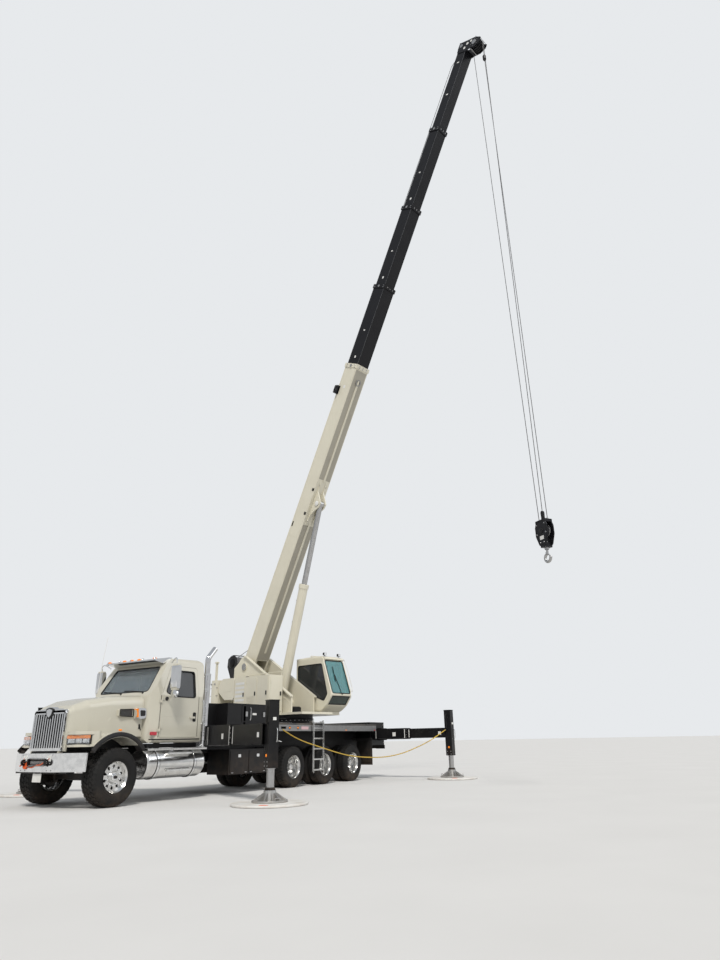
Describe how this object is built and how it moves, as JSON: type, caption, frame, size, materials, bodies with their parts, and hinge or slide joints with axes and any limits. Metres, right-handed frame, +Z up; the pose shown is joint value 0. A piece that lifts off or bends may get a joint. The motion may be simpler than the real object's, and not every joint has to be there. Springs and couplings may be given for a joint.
{
  "type": "mobile crane",
  "caption": "Truck crane with a swing cab, a telescopic boom raised to the left and outriggers set down on round pads.",
  "frame": {"origin": "middle of the whole crane's outline, as it stands with its boom and outriggers out, at ground level", "axes": "+X to the truck's front, +Y to its left, +Z up"},
  "size_m": [13.0946, 14.1165, 23.5305],
  "materials": {
    "cab_paint": "semi-gloss",
    "crane_paint": "semi-gloss",
    "boom_black": "semi-gloss",
    "frame_black": "satin",
    "deck_grey": "matt",
    "chrome": "polished",
    "polished": "polished",
    "machined_steel": "machined",
    "tyre": "matt",
    "pad_white": "matt",
    "rope_wire": "wire rope",
    "rope_yellow": "laid rope"
  },
  "bodies": {
    "carrier": {"chassis_frame": "frame_black", "axles": "frame_black", "engine_block": "frame_black", "truck_cab": "cab_paint", "front_bumper": "polished", "sun_visor": "chrome", "exhaust_stack": "chrome", "fuel_tanks": "polished", "deck": "deck_grey", "ladder": "polished", "flaps_and_tail_lamps": "frame_black", "front_outrigger_box": "frame_black", "rear_outrigger_box": "frame_black", "tool_boxes": "frame_black", "ground_pads": "pad_white", "slewing_ring": "frame_black", "stay_rope": "rope_yellow"},
    "hood": {"hood": "cab_paint", "grille": "chrome", "headlamps": "chrome"},
    "turret": {"turret": "crane_paint", "cabinet": "crane_paint", "counterweight": "crane_paint", "main_winch": "frame_black", "operator_cab": "crane_paint"},
    "truck_door_left": {"truck_door_left": "cab_paint"},
    "knuckle_left": {"knuckle_left": "frame_black"},
    "front_wheel_left": {"front_wheel_left": "tyre"},
    "rear_wheel_left_1": {"rear_wheel_left_1": "tyre"},
    "rear_wheel_left_2": {"rear_wheel_left_2": "tyre"},
    "rear_wheel_left_3": {"rear_wheel_left_3": "tyre"},
    "truck_door_right": {"truck_door_right": "cab_paint"},
    "knuckle_right": {"knuckle_right": "frame_black"},
    "front_wheel_right": {"front_wheel_right": "tyre"},
    "rear_wheel_right_1": {"rear_wheel_right_1": "tyre"},
    "rear_wheel_right_2": {"rear_wheel_right_2": "tyre"},
    "rear_wheel_right_3": {"rear_wheel_right_3": "tyre"},
    "outer_beam_front_left": {"outer_beam_front_left": "frame_black"},
    "inner_beam_front_left": {"inner_beam_front_left": "frame_black"},
    "jack_rod_front_left": {"jack_rod_front_left": "machined_steel"},
    "outer_beam_front_right": {"outer_beam_front_right": "frame_black"},
    "inner_beam_front_right": {"inner_beam_front_right": "frame_black"},
    "jack_rod_front_right": {"jack_rod_front_right": "machined_steel"},
    "outer_beam_rear_left": {"outer_beam_rear_left": "frame_black"},
    "inner_beam_rear_left": {"inner_beam_rear_left": "frame_black"},
    "jack_rod_rear_left": {"jack_rod_rear_left": "machined_steel"},
    "outer_beam_rear_right": {"outer_beam_rear_right": "frame_black"},
    "inner_beam_rear_right": {"inner_beam_rear_right": "frame_black"},
    "jack_rod_rear_right": {"jack_rod_rear_right": "machined_steel"},
    "operator_door": {"operator_door": "crane_paint"},
    "boom_base": {"boom_base": "crane_paint"},
    "boom_section_1": {"boom_section_1": "boom_black"},
    "boom_section_2": {"boom_section_2": "boom_black"},
    "boom_section_3": {"boom_section_3": "boom_black"},
    "boom_tip_section": {"boom_tip_section": "boom_black"},
    "lift_rod": {"lift_rod": "machined_steel"},
    "lift_barrel": {"lift_barrel": "crane_paint"},
    "hook_line": {"hoist_falls": "rope_wire"},
    "hook_block": {"hook_block": "frame_black"},
    "hook": {"hook": "machined_steel"}
  },
  "joints": [
    {"name": "hood_tilt", "type": "hinge", "parent": "carrier", "child": "hood", "pos_m": [6.2995, -2.30326, 1.052], "axis": [0, 1, 0], "range_deg": [0, 60]},
    {"name": "truck_door_left_hinge", "type": "hinge", "parent": "carrier", "child": "truck_door_left", "pos_m": [4.2525, -1.21726, 2], "axis": [0, 0, -1], "range_deg": [0, 70]},
    {"name": "steer_left", "type": "hinge", "parent": "carrier", "child": "knuckle_left", "pos_m": [5.4375, -1.54326, 0.562], "axis": [0, 0, 1], "range_deg": [-32, 32]},
    {"name": "spin_front_wheel_left", "type": "hinge", "parent": "knuckle_left", "child": "front_wheel_left", "pos_m": [5.4375, -1.26326, 0.562], "axis": [0, 1, 0], "continuous": true},
    {"name": "spin_rear_wheel_left_1", "type": "hinge", "parent": "carrier", "child": "rear_wheel_left_1", "pos_m": [-0.5625, -1.54326, 0.525], "axis": [0, 1, 0], "continuous": true},
    {"name": "spin_rear_wheel_left_2", "type": "hinge", "parent": "carrier", "child": "rear_wheel_left_2", "pos_m": [-2.0825, -1.54326, 0.525], "axis": [0, 1, 0], "continuous": true},
    {"name": "spin_rear_wheel_left_3", "type": "hinge", "parent": "carrier", "child": "rear_wheel_left_3", "pos_m": [-3.6025, -1.54326, 0.525], "axis": [0, 1, 0], "continuous": true},
    {"name": "truck_door_right_hinge", "type": "hinge", "parent": "carrier", "child": "truck_door_right", "pos_m": [4.2525, -3.38926, 2], "axis": [0, 0, 1], "range_deg": [0, 70]},
    {"name": "steer_right", "type": "hinge", "parent": "carrier", "child": "knuckle_right", "pos_m": [5.4375, -3.06326, 0.562], "axis": [0, 0, 1], "range_deg": [-32, 32]},
    {"name": "spin_front_wheel_right", "type": "hinge", "parent": "knuckle_right", "child": "front_wheel_right", "pos_m": [5.4375, -3.34326, 0.562], "axis": [0, 1, 0], "continuous": true},
    {"name": "spin_rear_wheel_right_1", "type": "hinge", "parent": "carrier", "child": "rear_wheel_right_1", "pos_m": [-0.5625, -3.06326, 0.525], "axis": [0, 1, 0], "continuous": true},
    {"name": "spin_rear_wheel_right_2", "type": "hinge", "parent": "carrier", "child": "rear_wheel_right_2", "pos_m": [-2.0825, -3.06326, 0.525], "axis": [0, 1, 0], "continuous": true},
    {"name": "spin_rear_wheel_right_3", "type": "hinge", "parent": "carrier", "child": "rear_wheel_right_3", "pos_m": [-3.6025, -3.06326, 0.525], "axis": [0, 1, 0], "continuous": true},
    {"name": "extend_front_left", "type": "slide", "parent": "carrier", "child": "inner_beam_front_left", "axis": [0.4226, 0.9063, 0], "range_m": [-3.11153, 0]},
    {"name": "follow_front_left", "type": "slide", "parent": "carrier", "child": "outer_beam_front_left", "axis": [0.4226, 0.9063, 0], "range_m": [-1.55676, 0.001]},
    {"name": "jack_front_left", "type": "slide", "parent": "inner_beam_front_left", "child": "jack_rod_front_left", "axis": [0, 0, -1], "range_m": [-0.33, 0]},
    {"name": "extend_front_right", "type": "slide", "parent": "carrier", "child": "inner_beam_front_right", "axis": [0.4226, -0.9063, 0], "range_m": [-3.11153, 0]},
    {"name": "follow_front_right", "type": "slide", "parent": "carrier", "child": "outer_beam_front_right", "axis": [0.4226, -0.9063, 0], "range_m": [-1.55676, 0.001]},
    {"name": "jack_front_right", "type": "slide", "parent": "inner_beam_front_right", "child": "jack_rod_front_right", "axis": [0, 0, -1], "range_m": [-0.33, 0]},
    {"name": "extend_rear_left", "type": "slide", "parent": "carrier", "child": "inner_beam_rear_left", "axis": [0, 1, 0], "range_m": [-2.65, 0]},
    {"name": "follow_rear_left", "type": "slide", "parent": "carrier", "child": "outer_beam_rear_left", "axis": [0, 1, 0], "range_m": [-1.326, 0.001]},
    {"name": "jack_rear_left", "type": "slide", "parent": "inner_beam_rear_left", "child": "jack_rod_rear_left", "axis": [0, 0, -1], "range_m": [-0.33, 0]},
    {"name": "extend_rear_right", "type": "slide", "parent": "carrier", "child": "inner_beam_rear_right", "axis": [0, -1, 0], "range_m": [-2.65, 0]},
    {"name": "follow_rear_right", "type": "slide", "parent": "carrier", "child": "outer_beam_rear_right", "axis": [0, -1, 0], "range_m": [-1.326, 0.001]},
    {"name": "jack_rear_right", "type": "slide", "parent": "inner_beam_rear_right", "child": "jack_rod_rear_right", "axis": [0, 0, -1], "range_m": [-0.33, 0]},
    {"name": "slew", "type": "hinge", "parent": "carrier", "child": "turret", "pos_m": [-1.9125, -2.30326, 1.9253], "axis": [0, 0, 1], "continuous": true},
    {"name": "operator_door_hinge", "type": "hinge", "parent": "turret", "child": "operator_door", "pos_m": [-3.41862, -2.28983, 2.8], "axis": [0, 0, 1], "range_deg": [0, 75]},
    {"name": "luff", "type": "hinge", "parent": "turret", "child": "boom_base", "pos_m": [-2.28466, -4.05415, 3.5], "axis": [0.9781, -0.2079, 0], "range_deg": [-61.85, 18.15]},
    {"name": "telescope_1", "type": "slide", "parent": "boom_base", "child": "boom_section_1", "axis": [0.0981, 0.4615, 0.8817], "range_m": [-2.707, 4.123]},
    {"name": "telescope_2", "type": "slide", "parent": "boom_section_1", "child": "boom_section_2", "axis": [0.0981, 0.4615, 0.8817], "range_m": [-2.708, 4.124]},
    {"name": "telescope_3", "type": "slide", "parent": "boom_section_2", "child": "boom_section_3", "axis": [0.0981, 0.4615, 0.8817], "range_m": [-2.708, 4.124]},
    {"name": "telescope_4", "type": "slide", "parent": "boom_section_3", "child": "boom_tip_section", "axis": [0.0981, 0.4615, 0.8817], "range_m": [-2.708, 4.124]},
    {"name": "lift_rod_pin", "type": "hinge", "parent": "boom_base", "child": "lift_rod", "pos_m": [-1.63156, -0.98157, 8.5334], "axis": [0.9781, -0.2079, 0], "range_deg": [-1.34, 0.46]},
    {"name": "lift_stroke", "type": "slide", "parent": "lift_rod", "child": "lift_barrel", "axis": [-0.0581, -0.2736, -0.9601], "range_m": [-1.72818, 0.50784]},
    {"name": "fall_line", "type": "hinge", "parent": "boom_tip_section", "child": "hook_line", "pos_m": [-0.02081, 6.59644, 23.09929], "axis": [0.9781, -0.2079, 0], "range_deg": [-18.25, 61.95]},
    {"name": "hoist", "type": "slide", "parent": "hook_line", "child": "hook_block", "axis": [0, 0, -1], "range_m": [-15.639, 4.1], "deforming": ["hoist_falls"]},
    {"name": "hook_swivel", "type": "hinge", "parent": "hook_block", "child": "hook", "pos_m": [0.02722, 6.82239, 5.38], "axis": [0, 0, 1], "continuous": true}
  ],
  "couplings": [
    {"joint": "steer_right", "follows": "steer_left", "ratio": 1},
    {"joint": "follow_front_left", "follows": "extend_front_left", "ratio": 0.5},
    {"joint": "follow_front_right", "follows": "extend_front_right", "ratio": 0.5},
    {"joint": "follow_rear_left", "follows": "extend_rear_left", "ratio": 0.5},
    {"joint": "follow_rear_right", "follows": "extend_rear_right", "ratio": 0.5},
    {"joint": "telescope_2", "follows": "telescope_1", "ratio": 1},
    {"joint": "telescope_3", "follows": "telescope_1", "ratio": 1},
    {"joint": "telescope_4", "follows": "telescope_1", "ratio": 1},
    {"joint": "lift_rod_pin", "follows": "luff", "ratio": 0.02},
    {"joint": "lift_stroke", "follows": "luff", "m_per_rad": 1.6},
    {"joint": "fall_line", "follows": "luff", "ratio": -1}
  ]
}
